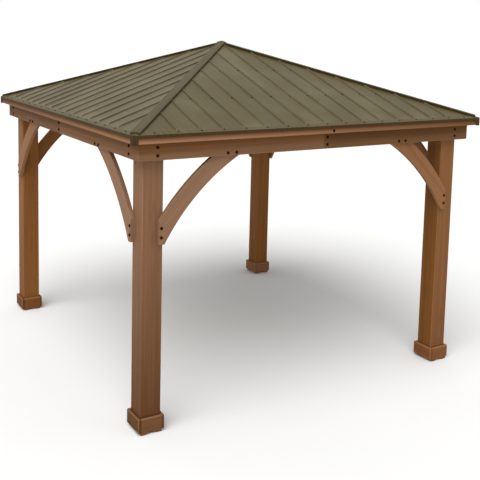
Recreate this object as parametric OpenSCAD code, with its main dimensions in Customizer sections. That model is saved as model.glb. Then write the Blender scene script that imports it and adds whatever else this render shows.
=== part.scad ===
// Garden gazebo: four wooden posts, double beams with curved knee braces,
// and a low pyramid roof of ribbed metal sheet on a wooden rafter frame.
// The front faces -Y, the left side faces -X, and the ground is at z = 0.

/* [Frame] */
// Width over the outer faces of the posts, the same both ways
frame_w = 3332; // [2900:2:3420]
// Height from the ground to the top of the posts and beams
frame_h = 2355; // [2150:5:2600]
// Side of a square post
post_w = 180; // [120:1:200]
// Radius of the rounded corners of a post
post_ease = 8; // [3:1:20]
// Thickness of the beam and brace boards
board_t = 38; // [30:1:45]
// Height of the outer beam
beam_h = 140; // [120:1:180]
// Radius of the rounded lower edges of a beam
beam_ease = 8; // [2:1:14]
// Height of the inner beam that backs the outer one
inner_beam_h = 89; // [60:1:110]
// How far the joint between two beam halves lies off the middle
splice_offset = 18; // [0:1:120]
// Open line between the two halves of an outer beam
splice_gap = 1; // [0.5:0.5:3]

/* [Knee braces] */
// Width of the curved brace board
brace_w = 140; // [100:1:170]
// Radius of the lower edge of a brace
brace_r = 1815; // [1300:5:2600]
// Height of a brace below the outer beam
brace_drop = 673; // [500:1:800]
// Distance from the post to where the lower edge meets the outer beam
brace_reach = 678; // [500:1:800]
// How far a brace laps over the face of its post
brace_lap = 48; // [30:1:70]
// Width of the flat foot of a brace
brace_foot_w = 47; // [35:1:70]

/* [Plinths] */
// Height of the boards round the foot of a post
plinth_h = 140; // [100:1:200]
// Thickness of these boards
plinth_t = 25; // [18:1:32]
// Height of the side boards above the ground
plinth_lift = 20; // [8:1:40]
// Width of the arch between the two feet of a front board
plinth_arch_w = 96; // [60:1:110]
// Height of that arch
plinth_arch_h = 19; // [10:1:28]
// Open line between two boards that meet at a corner
plinth_gap = 0.5; // [0.5:0.5:2]

/* [Rafters] */
// Thickness of a rafter
rafter_w = 38; // [30:1:48]
// Depth of a rafter, square to the slope
rafter_d = 114; // [90:1:140]
// Width of the eight sided block that the rafters meet at
king_w = 140; // [125:1:200]
// Length of that block below the peak
king_len = 215; // [190:5:300]
// Depth of the sloped point under that block
king_point = 30; // [10:1:60]
// Width of a purlin
purlin_w = 89; // [60:1:120]
// Thickness of a purlin
purlin_t = 38; // [25:1:48]
// Distance of the lower purlins from the middle of the roof
lower_purlin = 1170; // [950:5:1300]
// Distance of the upper purlins from the middle of the roof
upper_purlin = 610; // [400:5:800]
// Thickness of the fascia board along the eaves
fascia_t = 38; // [25:1:45]
// Height of the outer face of the fascia board
fascia_h = 67; // [50:1:90]

/* [Roof] */
// How far the roof reaches past the outer faces of the posts
eave_reach = 154; // [145:1:260]
// Rise of the roof from eave to peak
roof_rise = 658; // [500:2:900]
// Thickness of the sheet
sheet_t = 4; // [2:0.5:6]
// Distance between two ribs
rib_pitch = 204; // [150:1:300]
// Width of a rib at its foot
rib_w = 12; // [10:1:24]
// Width of a rib at its top
rib_top_w = 7; // [4:1:9]
// Height of a rib
rib_h = 11; // [6:1:18]
// Width of the round backed cap along a hip
hip_cap_w = 78; // [60:1:120]
// Height of the turned down edges of a hip cap
hip_cap_edge = 23; // [10:1:25]
// Height of the back of a hip cap over the hip of the sheet
hip_cap_rise = 18; // [16:1:30]
// Width of the square cap on the peak
peak_cap_w = 78; // [60:1:120]
// Height of the peak cap over the sheet, square to the slope
peak_cap_h = 26; // [22:1:40]

/* [Eave trim] */
// Width of the flange that lies on the sheet
trim_flange = 87; // [60:1:120]
// Height of the leg that hangs in front of the fascia
trim_drop = 25; // [15:1:40]
// Thickness of the trim
trim_t = 3; // [2:0.5:5]
// Space between the fascia board and the leg of the trim
trim_stand = 5; // [1:0.5:10]
// Length of each leg of a corner cap
corner_leg = 46; // [30:1:70]
// How far a corner cap reaches below the fascia board
corner_drop = 4; // [0:1:15]

/* [Hidden] */
$fn = 96;

// Turns that carry the back side, or the back right corner, to the other ones
BACK = 0;
LEFT = 90;
FRONT = 180;
RIGHT = 270;
BACK_RIGHT = 0;
BACK_LEFT = 90;
FRONT_LEFT = 180;
FRONT_RIGHT = 270;
CORNERS = [BACK_RIGHT, BACK_LEFT, FRONT_LEFT, FRONT_RIGHT];
SIDES = [BACK, LEFT, FRONT, RIGHT];

WOOD = "#8a664a";
FASCIA_WOOD = "#997659";
SHEET_METAL = "#777159";
DARK_METAL = "#463f2a";

// Frame lines, as distances from the middle of the gazebo
post_out = frame_w / 2;
post_in = post_out - post_w;
post_mid = post_out - post_w / 2;
inner_out = post_out + board_t;
outer_out = inner_out + board_t;
beam_bottom = frame_h - beam_h;
inner_bottom = frame_h - inner_beam_h;

// Roof lines
eave = post_out + eave_reach;
slope = roof_rise / eave;
pitch = atan(slope);
sheet_out = eave - trim_t;
fascia_out = sheet_out - trim_stand;
fascia_in = fascia_out - fascia_t;
rafter_v = rafter_d / cos(pitch);

// Height of the rafters' top faces at a distance d from the middle.
// A rafter rests on the beams just where its lower edge meets the post line.
function deck(d) = frame_h + rafter_v + (post_out - d) * slope;
// Height of a layer that lies t above the rafters, square to the slope
function layer(d, t) = deck(d) + t / cos(pitch);
peak = deck(0);
fascia_low = deck(fascia_out) - fascia_h;
trim_top = sheet_t + trim_t;

// Hip lines: across a hip the sheet falls away to both sides, by hip_fall at the edges of the cap
hip_pitch = atan(slope / sqrt(2));
hip_fall = hip_cap_w / 2 * slope / sqrt(2) * cos(hip_pitch);
hip_arch = hip_cap_rise + hip_fall - hip_cap_edge;
hip_r = (hip_cap_w * hip_cap_w / 4 + hip_arch * hip_arch) / (2 * hip_arch);
hip_edge = hip_cap_w / 2 * sqrt(2);

// Brace lines: the lower edge is an arc of radius brace_r from foot to beam
foot = [post_in + brace_lap - brace_foot_w, beam_bottom - brace_drop];
head = [post_in - brace_reach, beam_bottom];
chord = norm(head - foot);
along = (head - foot) / chord;
arc_centre = (foot + head) / 2 + [-along.y, along.x] * sqrt(brace_r * brace_r - chord * chord / 4);

// The arch of a plinth is an arc over its width and height
arch_r = (plinth_arch_w * plinth_arch_w / 4 + plinth_arch_h * plinth_arch_h) / (2 * plinth_arch_h);
plinth_out = post_w / 2 + plinth_t;

// Ribs end short of the eave trim and of the hip caps
rib_clear = 4;
rib_sink = 1;
rib_low = eave - trim_flange - rib_clear;
rib_min = rib_pitch / 4;
rib_count = floor((rib_low - hip_edge - rib_w - rib_clear - rib_min) / rib_pitch);

// Shapes that several pieces share

// A profile of [distance from the middle, height] points, drawn along the back side
module along_side(profile, length) {
    rotate([90, 0, 90])
        linear_extrude(length, center = true)
            polygon(profile);
}

// Plan of the back side's quarter of the roof, out to a distance d
module side_plan(d) {
    polygon([[0, 0], [d, d], [-d, d]]);
}

// Everything under a layer that lies t above the rafters
module under_layer(t, spare) {
    reach = eave + spare;
    low = frame_h - beam_h - spare;
    profile = [
        [-reach, low], [reach, low], [reach, layer(reach, t)], [0, layer(0, t)], [-reach, layer(reach, t)]
    ];
    intersection() {
        along_side(profile, 2 * reach);
        rotate([0, 0, LEFT])
            along_side(profile, 2 * reach);
    }
}

// The part of a roof layer, from t0 to t1 above the rafters, over a plan
module roof_layer(t0, t1) {
    intersection() {
        difference() {
            under_layer(t1, board_t);
            under_layer(t0, 2 * board_t);
        }
        upright()
            children();
    }
}

// Everything over or under a plan, from below the beams to above the peak
module upright() {
    translate([0, 0, beam_bottom])
        linear_extrude(peak)
            children();
}

// Plan of a strip along the back right hip, from the middle out to a length along the hip
module hip_strip(length) {
    rotate(45)
        translate([0, -hip_cap_w / 2])
            square([length, hip_cap_w]);
}

// Plan of the strip out to the corner of the sheet
module hip_way() {
    intersection() {
        square(sheet_out);
        hip_strip(2 * eave);
    }
}

// Posts and their plinths

// A square with rounded corners, about its middle
module post_section() {
    flat = post_w - 2 * post_ease;
    square([post_w, flat], center = true);
    square([flat, post_w], center = true);
    for (x = [-1, 1], y = [-1, 1])
        translate([x, y] * flat / 2)
            circle(post_ease);
}

module post(corner) {
    color(WOOD)
        rotate([0, 0, corner])
            translate([post_mid, post_mid, 0])
                linear_extrude(frame_h)
                    post_section();
}

// Board on the left or right face of a post: straight, and clear of the ground
module plinth_side_board() {
    translate([post_w / 2, -plinth_out, plinth_lift])
        cube([plinth_t, 2 * plinth_out, plinth_h - plinth_lift]);
}

// Board on the front or back face of a post: it stands on two feet with an arch between
module plinth_face_board() {
    board_w = post_w - 2 * plinth_gap;
    translate([-board_w / 2, post_w / 2, 0])
        difference() {
            cube([board_w, plinth_t, plinth_h]);
            translate([board_w / 2, -plinth_t, plinth_arch_h - arch_r])
                rotate([-90, 0, 0])
                    cylinder(r = arch_r, h = 3 * plinth_t);
        }
}

module plinth(x_side, y_side) {
    color(WOOD)
        translate([x_side * post_mid, y_side * post_mid, 0])
            for (turn = [0, 180])
                rotate([0, 0, turn]) {
                    plinth_side_board();
                    plinth_face_board();
                }
}

// Beams

// Section of a board on edge, with its two lower edges rounded
module beam_section(height) {
    translate([0, beam_ease])
        square([board_t, height - beam_ease]);
    translate([beam_ease, 0])
        square([board_t - 2 * beam_ease, height]);
    for (y = [beam_ease, board_t - beam_ease])
        translate([y, beam_ease])
            circle(beam_ease);
}

// One board on edge, from u0 to u1 along X and from the face d outwards
module beam_board(u0, u1, d, height) {
    translate([u0, d, frame_h - height])
        rotate([90, 0, 90])
            linear_extrude(u1 - u0)
                beam_section(height);
}

// Front and back outer beams run through to the corners
module outer_beam_through(y_side) {
    color(WOOD)
        mirror([0, y_side < 0 ? 1 : 0, 0]) {
            beam_board(-outer_out, splice_offset - splice_gap / 2, inner_out, beam_h);
            beam_board(splice_offset + splice_gap / 2, outer_out, inner_out, beam_h);
        }
}

// Left and right outer beams fit between the front and back ones
module outer_beam_between(x_side) {
    color(WOOD)
        mirror([x_side > 0 ? 1 : 0, 0, 0])
            rotate([0, 0, LEFT]) {
                beam_board(-inner_out, splice_offset - splice_gap / 2, inner_out, beam_h);
                beam_board(splice_offset + splice_gap / 2, inner_out, inner_out, beam_h);
            }
}

module inner_beam_through(side) {
    color(WOOD)
        rotate([0, 0, side])
            beam_board(-inner_out, inner_out, post_out, inner_beam_h);
}

module inner_beam_between(side) {
    color(WOOD)
        rotate([0, 0, side])
            beam_board(-post_out, post_out, post_out, inner_beam_h);
}

// Knee braces

// A band between two arcs, cut upright at the post, level at the foot and under the inner beam
module brace_outline() {
    intersection() {
        translate(arc_centre)
            difference() {
                circle(brace_r + brace_w, $fn = 256);
                circle(brace_r, $fn = 256);
            }
        translate([0, foot.y])
            square([post_in + brace_lap, inner_bottom - foot.y]);
    }
}

module brace(side, hand) {
    color(WOOD)
        rotate([0, 0, side])
            mirror([hand < 0 ? 1 : 0, 0, 0])
                translate([0, inner_out, 0])
                    rotate([90, 0, 0])
                        linear_extrude(board_t)
                            brace_outline();
}

// Roof frame

module fascia(side) {
    profile = [
        [fascia_in, fascia_low], [fascia_out, fascia_low],
        [fascia_out, deck(fascia_out)], [fascia_in, deck(fascia_in)]
    ];
    color(FASCIA_WOOD)
        rotate([0, 0, side])
            intersection() {
                along_side(profile, 2 * eave);
                upright()
                    side_plan(fascia_out);
            }
}

// A rafter under a hip: its top is bevelled to both slopes and its tail fits the fascia corner
module hip_rafter(corner) {
    near = king_w / 2;
    seat = post_out * sqrt(2);
    tail = fascia_in * sqrt(2);
    profile = [
        [near, deck(near / sqrt(2)) - rafter_v], [seat, frame_h], [tail, frame_h], [tail, peak], [near, peak]
    ];
    rotate([0, 0, corner])
        intersection() {
            rotate([0, 0, -45])
                along_side(profile, rafter_w);
            under_layer(0, board_t);
            upright()
                square(fascia_in);
        }
}

module hip_rafters() {
    color(WOOD)
        for (corner = CORNERS)
            hip_rafter(corner);
}

module centre_rafters() {
    near = king_w / 2;
    profile = [
        [near, deck(near)], [near, deck(near) - rafter_v], [post_out, frame_h],
        [fascia_in, frame_h], [fascia_in, deck(fascia_in)]
    ];
    color(WOOD)
        for (side = SIDES)
            rotate([0, 0, side])
                along_side(profile, rafter_w);
}

// A ring of boards on one level, fitted between the hip rafters and the centre rafters
module purlins(d) {
    half = purlin_w / 2 * cos(pitch);
    low = d + half;
    high = d - half;
    drop = purlin_t / cos(pitch);
    profile = [[high, deck(high)], [high, deck(high) - drop], [low, deck(low) - drop], [low, deck(low)]];
    hip_face = rafter_w / sqrt(2);
    near = rafter_w / 2;
    plan = [[near, high], [high - hip_face, high], [low - hip_face, low], [near, low]];
    color(WOOD)
        for (side = SIDES, hand = [0, 1])
            rotate([0, 0, side])
                mirror([hand, 0, 0])
                    intersection() {
                        along_side(profile, 2 * eave);
                        upright()
                            polygon(plan);
                    }
}

// The block at the peak: eight faces for eight rafters, and a sloped point below
module king_block() {
    low = peak - king_len;
    point = [[0, low], [king_w / 2, low + king_point], [king_w / 2, peak], [0, peak]];
    color(WOOD)
        intersection() {
            translate([0, 0, low])
                rotate([0, 0, 180 / 8])
                    cylinder(d = king_w / cos(180 / 8), h = king_len, $fn = 8);
            under_layer(0, board_t);
            rotate([0, 0, 180 / 8])
                rotate_extrude($fn = 8)
                    scale([1 / cos(180 / 8), 1])
                        polygon(point);
        }
}

// Roof covering

// One raised seam that runs up the slope of the back side at x
module rib(x) {
    high = abs(x) + hip_edge + rib_w / 2 + rib_clear;
    translate([x, rib_low, layer(rib_low, sheet_t)])
        rotate([90 - pitch, 0, 0])
            linear_extrude((rib_low - high) / cos(pitch))
                polygon([
                    [-rib_w / 2, -rib_sink], [rib_w / 2, -rib_sink], [rib_w / 2, 0],
                    [rib_top_w / 2, rib_h], [-rib_top_w / 2, rib_h], [-rib_w / 2, 0]
                ]);
}

module roof_sheet(side) {
    color(SHEET_METAL)
        rotate([0, 0, side]) {
            roof_layer(0, sheet_t)
                side_plan(sheet_out);
            for (i = [-rib_count:rib_count])
                rib(i * rib_pitch);
        }
}

// A folded strip: a flange on the sheet and a leg in front of the fascia.
// The flange is cut round the hip caps, and the leg stops at the corner caps.
module eave_trim(side) {
    start = eave - trim_flange;
    leg_low = layer(eave, trim_top) - trim_drop;
    profile = [
        [start, layer(start, sheet_t)], [sheet_out, layer(sheet_out, sheet_t)], [sheet_out, leg_low],
        [eave, leg_low], [eave, layer(eave, trim_top)], [start, layer(start, trim_top)]
    ];
    color(DARK_METAL)
        rotate([0, 0, side])
            difference() {
                intersection() {
                    along_side(profile, 2 * eave);
                    upright()
                        side_plan(eave);
                }
                for (corner = [BACK_RIGHT, BACK_LEFT])
                    rotate([0, 0, corner])
                        upright() {
                            hip_way();
                            translate([eave - corner_leg, eave - corner_leg])
                                square(2 * corner_leg);
                        }
            }
}

// A strip with a round back and turned down edges, cut square at the eave and butted to the peak cap
module hip_cap(corner) {
    color(SHEET_METAL)
        rotate([0, 0, corner])
            difference() {
                intersection() {
                    translate([0, 0, layer(0, sheet_t)])
                        rotate([0, hip_pitch, 45])
                            rotate([90, 0, 90])
                                linear_extrude(2 * eave)
                                    hip_profile();
                    upright()
                        hip_strip((sheet_out - hip_edge / 2) * sqrt(2));
                }
                under_layer(sheet_t, board_t);
                upright()
                    square(peak_cap_w, center = true);
            }
}

// Section across a hip cap, with the hip of the sheet at the origin
module hip_profile() {
    intersection() {
        translate([0, hip_cap_rise - hip_r])
            circle(hip_r);
        translate([-hip_cap_w / 2, -2 * hip_fall])
            square([hip_cap_w, 2 * hip_fall + hip_cap_rise]);
    }
}

module peak_cap() {
    color(SHEET_METAL)
        roof_layer(sheet_t, sheet_t + peak_cap_h)
            square(peak_cap_w, center = true);
}

// Pieces that cover the fascia joints: two legs, and a plate that closes the end of the hip cap
module corner_caps() {
    low = fascia_low - corner_drop;
    near = eave - corner_leg;
    plate_end = sheet_out - hip_edge;
    color(DARK_METAL)
        for (corner = CORNERS)
            rotate([0, 0, corner]) {
                difference() {
                    intersection() {
                        translate([0, 0, low])
                            linear_extrude(peak - low)
                                difference() {
                                    translate([near, near])
                                        square(corner_leg);
                                    square(fascia_out);
                                }
                        under_layer(trim_top, board_t);
                    }
                    roof_layer(0, sheet_t)
                        square(sheet_out);
                }
                roof_layer(sheet_t, trim_top)
                    polygon([[sheet_out, plate_end], [sheet_out, sheet_out], [plate_end, sheet_out]]);
            }
}

post(FRONT_LEFT);  // post_front_left
post(FRONT_RIGHT);  // post_front_right
post(BACK_LEFT);  // post_back_left
post(BACK_RIGHT);  // post_back_right
plinth(-1, -1);  // plinth_front_left
plinth(1, -1);  // plinth_front_right
plinth(-1, 1);  // plinth_back_left
plinth(1, 1);  // plinth_back_right
outer_beam_through(-1);  // outer_beam_front
outer_beam_through(1);  // outer_beam_back
outer_beam_between(-1);  // outer_beam_left
outer_beam_between(1);  // outer_beam_right
inner_beam_through(FRONT);  // inner_beam_front
inner_beam_through(BACK);  // inner_beam_back
inner_beam_between(LEFT);  // inner_beam_left
inner_beam_between(RIGHT);  // inner_beam_right
brace(FRONT, 1);  // brace_front_left
brace(FRONT, -1);  // brace_front_right
brace(BACK, -1);  // brace_back_left
brace(BACK, 1);  // brace_back_right
brace(LEFT, -1);  // brace_left_front
brace(LEFT, 1);  // brace_left_back
brace(RIGHT, 1);  // brace_right_front
brace(RIGHT, -1);  // brace_right_back
fascia(FRONT);  // fascia_front
fascia(BACK);  // fascia_back
fascia(LEFT);  // fascia_left
fascia(RIGHT);  // fascia_right
hip_rafters();
centre_rafters();
purlins(lower_purlin);  // lower_purlins
purlins(upper_purlin);  // upper_purlins
king_block();
roof_sheet(FRONT);  // roof_sheet_front
roof_sheet(BACK);  // roof_sheet_back
roof_sheet(LEFT);  // roof_sheet_left
roof_sheet(RIGHT);  // roof_sheet_right
eave_trim(FRONT);  // eave_trim_front
eave_trim(BACK);  // eave_trim_back
eave_trim(LEFT);  // eave_trim_left
eave_trim(RIGHT);  // eave_trim_right
hip_cap(FRONT_LEFT);  // hip_cap_front_left
hip_cap(FRONT_RIGHT);  // hip_cap_front_right
hip_cap(BACK_LEFT);  // hip_cap_back_left
hip_cap(BACK_RIGHT);  // hip_cap_back_right
peak_cap();
corner_caps();
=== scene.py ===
"""A garden gazebo: a frame of stained cedar under a low roof of ribbed, painted sheet.

Each new piece is a surface worked out with numpy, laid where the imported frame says. Lengths are in
metres, the front faces -Y, the left side faces -X and the ground is at z = 0.
"""
import math

import bpy
import numpy as np
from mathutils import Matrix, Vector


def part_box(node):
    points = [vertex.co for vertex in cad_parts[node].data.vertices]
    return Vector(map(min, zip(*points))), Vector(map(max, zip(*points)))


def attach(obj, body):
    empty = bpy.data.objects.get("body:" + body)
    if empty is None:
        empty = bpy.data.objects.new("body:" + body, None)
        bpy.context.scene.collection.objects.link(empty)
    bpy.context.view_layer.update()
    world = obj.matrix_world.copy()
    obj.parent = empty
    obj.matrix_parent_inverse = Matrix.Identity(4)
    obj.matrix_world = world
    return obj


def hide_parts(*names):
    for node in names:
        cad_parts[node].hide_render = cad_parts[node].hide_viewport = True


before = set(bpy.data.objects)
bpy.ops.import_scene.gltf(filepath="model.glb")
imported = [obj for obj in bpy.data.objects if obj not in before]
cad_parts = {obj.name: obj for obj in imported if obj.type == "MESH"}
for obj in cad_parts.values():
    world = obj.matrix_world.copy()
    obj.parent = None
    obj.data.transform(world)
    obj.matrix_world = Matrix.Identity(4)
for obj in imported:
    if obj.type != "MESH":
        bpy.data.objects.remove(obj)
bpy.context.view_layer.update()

# Sizes, counts and shares that the frame's boxes don't give, with angles in degrees
POST_EASE = 0.008
BEAM_EASE = 0.008
BRACE_EASE = 0.004
PLINTH_EASE = 0.011
FASCIA_EASE = 0.004
ARC_STEPS = 4
END_TILT = 25.0
END_STEPS = 4
ARRIS = 0.2
STRAIGHT = 1e-6

BRACE_RADIUS = 1.815
BRACE_WIDTH = 0.140
BRACE_REACH = 0.678
BRACE_LAP = 0.048
BRACE_FOOT = 0.047
BRACE_STATIONS = 28

PLINTH_LIFT = 0.020
PLINTH_GAP = 0.0005
ARCH_WIDTH = 0.096
ARCH_HEIGHT = 0.019
ARCH_STATIONS = 32

SPLICE_OFFSET = 0.018
SPLICE_GAP = 0.001

SHEET = 0.004
SHEET_SKIN = 0.003
RIB_PITCH = 0.204
RIB_COUNT = 7
RIB_WIDTH = 0.012
RIB_TOP = 0.007
RIB_HEIGHT = 0.011
RIB_CLEAR = 0.004
RIB_TAPER = 0.024
RIB_COLUMNS = 9
PANEL_COLUMNS = 4
TAPER_ROWS = 5
SLOPE_ROWS = 6
SHEET_FOLD = 60
ROLLED_PITCH = 0.051

HIP_WIDTH = 0.078
HIP_EDGE = 0.023
HIP_RISE = 0.018
HIP_FOLD = 0.0015
HIP_SINK = 0.001
HIP_STEPS = 14
HIP_STATIONS = 9
PEAK_SKIRT = 0.6
PEAK_TIP = 0.004
PEAK_EASE = 0.12

TRIM = 0.003
TRIM_FLANGE = 0.040
TRIM_DROP = 0.025
TRIM_BEND = 0.003
TRIM_STATIONS = 3
TRIM_FOLD = 40
BEND_MIDDLE = 0.5
CORNER_LEG = 0.046
CORNER_BEND = 0.004
CORNER_LEG_ROWS = 4
CORNER_TURN = (0.3, 0.7)
CORNER_PLATE_ROWS = (0.06, 0.5, 1.0)
CORNER_PLATE_SHADE = (0.6, 0.0, 0.0)

BOLT_WASHER = 0.013
BOLT_HEAD = 0.0105
BOLT_SIDES = 16
BOLT_FROM_EDGE = 0.038
BRACE_BOLT_MIDDLE = 0.910
BRACE_BOLT_PITCH = 0.080
BRACE_BOLT_RISE = 0.024
FOOT_BOLT_INSET = 0.0165
FOOT_BOLTS_UP = (0.056, 0.131)
SPLICE_BOLT = 0.048
SCREW_WASHER = 0.0085
SCREW_HEAD = 0.0050
SCREW_SIDES = 8
SCREW_FROM_EAVE = 0.026
SCREW_BESIDE_RIB = 0.0135
SCREW_ROWS = (1.25, 0.69)
SCREW_FROM_HIP = RIB_PITCH / 4
FASCIA_BOLT = 0.060
FASCIA_BOLT_SUNK = 0.0016
NEARLY_ALONG_X = 0.9

# Heads as radius and height, from the washer's foot to the top
BOLT_PROFILE = ((BOLT_WASHER, 0.0), (BOLT_WASHER, 0.0022), (BOLT_HEAD, 0.0022), (BOLT_HEAD, 0.005),
                (BOLT_HEAD * 0.75, 0.0078), (BOLT_HEAD * 0.3, 0.0092))
SCREW_PROFILE = ((SCREW_WASHER, 0.0), (SCREW_WASHER, 0.0012), (SCREW_HEAD, 0.0016),
                 (SCREW_HEAD * 0.9, 0.005))

# The four sides, as quarter turns from the back, and the four corners, as signs of x and y
SIDES = {"back": 0, "left": 1, "front": 2, "right": 3}
CORNERS = {"front_left": (-1, -1), "front_right": (1, -1), "back_left": (-1, 1), "back_right": (1, 1)}
X, Y, Z = np.eye(3)

# The sides whose beams run through to the corners, and which way along each side its joint lies
THROUGH_SIDES = ("front", "back")
JOINT_HAND = {"back": 1, "left": 1, "front": -1, "right": -1}

# Each board is cut at its own place in the tree: how far apart along the grain, and how far from the pith
draw = np.random.default_rng(11)
DRAWS_PER_BOARD = 4
GRAIN_APART = 9.0
BOARD_PITH = 0.10
POST_PITH = 0.03

# Tone of a board, from -1.5 for a greyish board to 1.5 for a deep, reddish one: a post's outer and inner
# faces, a brace, the two boards of a beam, the two ends of a fascia, a plinth's straight and arched boards.
# Much of it is painted light: a post's inner faces are deeper as painted shade, beams and fascias darken
# away from the front left corner as light that falls off, the front left plinth's straight boards are darker
# as painted shade, and the back right plinth is paler against the roof's shadow. The rest is the stain's own
# tone.
POST_TONES = {"front_left": (-1.0, -1.0), "front_right": (0.2, 1.5), "back_left": (0.4, 0.8),
              "back_right": (0.6, 1.0)}
BRACE_TONES = {"front_left": -1.5, "left_front": -1.5, "front_right": -0.2, "right_front": 0.2,
               "left_back": -0.4}
OTHER_BRACE_TONE = 0.7
BEAM_TONES = {"front": (0.75, 0.0), "left": (0.2, 0.8), "back": (0.3, 0.6), "right": (0.6, 0.3)}
FASCIA_TONES = {"front": (1.0, -0.35), "left": (0.3, 1.1), "back": (0.3, 0.5), "right": (0.6, 0.4)}
PLINTH_TONES = {"front_left": (1.17, -0.1), "front_right": (0.45, 0.4), "back_left": (1.2, 0.65),
                "back_right": (-0.5, -0.6)}

# How dark the painted shadow on the turned down edges of a hip cap is just below their fold, above feet that
# are fully dark
HIP_EDGE_SHADE = {"front_left": 0.0, "front_right": 1.0, "back_left": 1.0, "back_right": 0.6}


# Lines of the frame, as distances from the middle of the gazebo

def ends_of(node):
    """Lowest and highest corner of a CAD node, as arrays."""
    low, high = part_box(node)
    return np.array(low), np.array(high)


post_low, post_high = ends_of("post_back_right")
post_in, post_out, frame_top = post_low[0], post_high[0], post_high[2]
post_mid = (post_in + post_out) / 2
post_width = post_out - post_in
outer_low, outer_high = ends_of("outer_beam_back")
outer_in, outer_out, beam_bottom = outer_low[1], outer_high[1], outer_low[2]
board_thick = outer_out - outer_in
inner_bottom = ends_of("inner_beam_back")[0][2]
brace_bottom = ends_of("brace_back_right")[0][2]
plinth_high = ends_of("plinth_back_right")[1]
plinth_top, plinth_half = plinth_high[2], plinth_high[0] - post_mid
plinth_thick = plinth_half - post_width / 2
fascia_low, fascia_high = ends_of("fascia_back")
fascia_in, fascia_out = fascia_low[1], fascia_high[1]
peak = ends_of("king_block")[1][2]
slope = (peak - fascia_high[2]) / fascia_in
pitch = math.atan(slope)
sheet_out = ends_of("roof_sheet_back")[1][1]
eave = ends_of("eave_trim_back")[1][1]
trim_start = eave - TRIM_FLANGE
hip_edge = HIP_WIDTH / 2 * math.sqrt(2)
trim_top = SHEET + TRIM
slope_normal = np.array([0.0, math.sin(pitch), math.cos(pitch)])


def deck(d):
    """Height of the rafters' top faces: it falls by the slope from the peak."""
    return peak - slope * d


def layer(d, t):
    """Height of a layer that lies t above the rafters, square to the slope."""
    return deck(d) + t / math.cos(pitch)


# Shapes

def points_of(*parts):
    """Points from their separate numbers, each of which is spread to the shape of the others."""
    return np.stack(np.broadcast_arrays(*parts), axis=-1)


def edge_normals(edge):
    """Normals of flat edges: each edge turned by a quarter, clockwise, and brought to length 1."""
    return points_of(edge[:, 1], -edge[:, 0]) / np.linalg.norm(edge, axis=1, keepdims=True)


def eased_outline(corners, ease):
    """Outline of a section with rounded corners: each corner moves in along its two edges' normals by
    ease, and an arc of radius ease turns about it from one normal to the next. Returns the arcs' centres,
    their normals, and which strips to the next point lie on an arc."""
    corners = np.asarray(corners, float)
    after = edge_normals(np.roll(corners, -1, axis=0) - corners)
    before = np.roll(after, 1, axis=0)
    cosine = (before * after).sum(axis=1, keepdims=True)
    centre = corners - ease * (before + after) / (1 + cosine)
    first = np.arctan2(before[:, 1], before[:, 0])
    sweep = np.arctan2(before[:, 0] * after[:, 1] - before[:, 1] * after[:, 0], cosine[:, 0])
    angle = first[:, None] + sweep[:, None] * np.linspace(0, 1, ARC_STEPS + 1)
    bent = np.abs(sweep) > STRAIGHT
    keep = bent[:, None] | (np.arange(ARC_STEPS + 1) == 0)
    on_arc = np.broadcast_to(np.arange(ARC_STEPS + 1) < ARC_STEPS, keep.shape) & bent[:, None]
    normal = points_of(np.cos(angle), np.sin(angle))
    centre = np.broadcast_to(centre[:, None], normal.shape)
    return centre[keep], normal[keep], on_arc[keep]


def box_corners(width, thick):
    """Corners of a rectangle about its middle, from the end of one short side round to its other end."""
    a, b = width / 2, thick / 2
    return [(a, b), (-a, b), (-a, -b), (a, -b)]


def on_arris(normal):
    """Which points of a section lie on a rounded arris: their normals point well away from both faces."""
    return np.abs(normal).min(axis=1) > ARRIS


def folded_strip(profile, thick):
    """Section of a folded sheet: the profile, then back along a copy of it that is moved by thick along
    the mean of the neighbouring edges' normals, stretched at the folds so that the sheet keeps its gauge."""
    profile = np.asarray(profile, float)
    normal = edge_normals(np.diff(profile, axis=0))
    before, after = np.vstack([normal[:1], normal]), np.vstack([normal, normal[-1:]])
    inner = profile + thick * (before + after) / (1 + (before * after).sum(axis=1, keepdims=True))
    return np.vstack([profile, inner[::-1]])


def loft(rings):
    """Faces of closed rings carried along a path: quads between neighbouring rings, then at both ends
    quads that join each point of a ring to the one as far from its other end. A shape whose volume comes
    out negative has its faces turned over."""
    rows, cols = rings.shape[:2]
    r, c = np.meshgrid(np.arange(rows - 1), np.arange(cols), indexing="ij")
    ahead = (c + 1) % cols
    wall = points_of(r * cols + c, r * cols + ahead, (r + 1) * cols + ahead, (r + 1) * cols + c)
    k = np.arange(cols // 2 - 1)
    lid = points_of(k, k + 1, cols - 2 - k, cols - 1 - k)
    faces = np.vstack([wall.reshape(-1, 4), lid[:, ::-1], lid + (rows - 1) * cols])
    a, b, c, d = (rings.reshape(-1, 3)[faces[:, i]] for i in range(4))
    volume = (a * (np.cross(b, c) + np.cross(c, d))).sum()
    return faces if volume > 0 else faces[:, ::-1]


def quarter_turn(points, turns):
    """Points of the back side carried to another side, by quarter turns about the upright axis."""
    c, s = ((1, 0), (0, 1), (-1, 0), (0, -1))[turns]
    x, y, z = np.moveaxis(np.asarray(points, float), -1, 0)
    return points_of(c * x - s * y, s * x + c * y, z)


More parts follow.
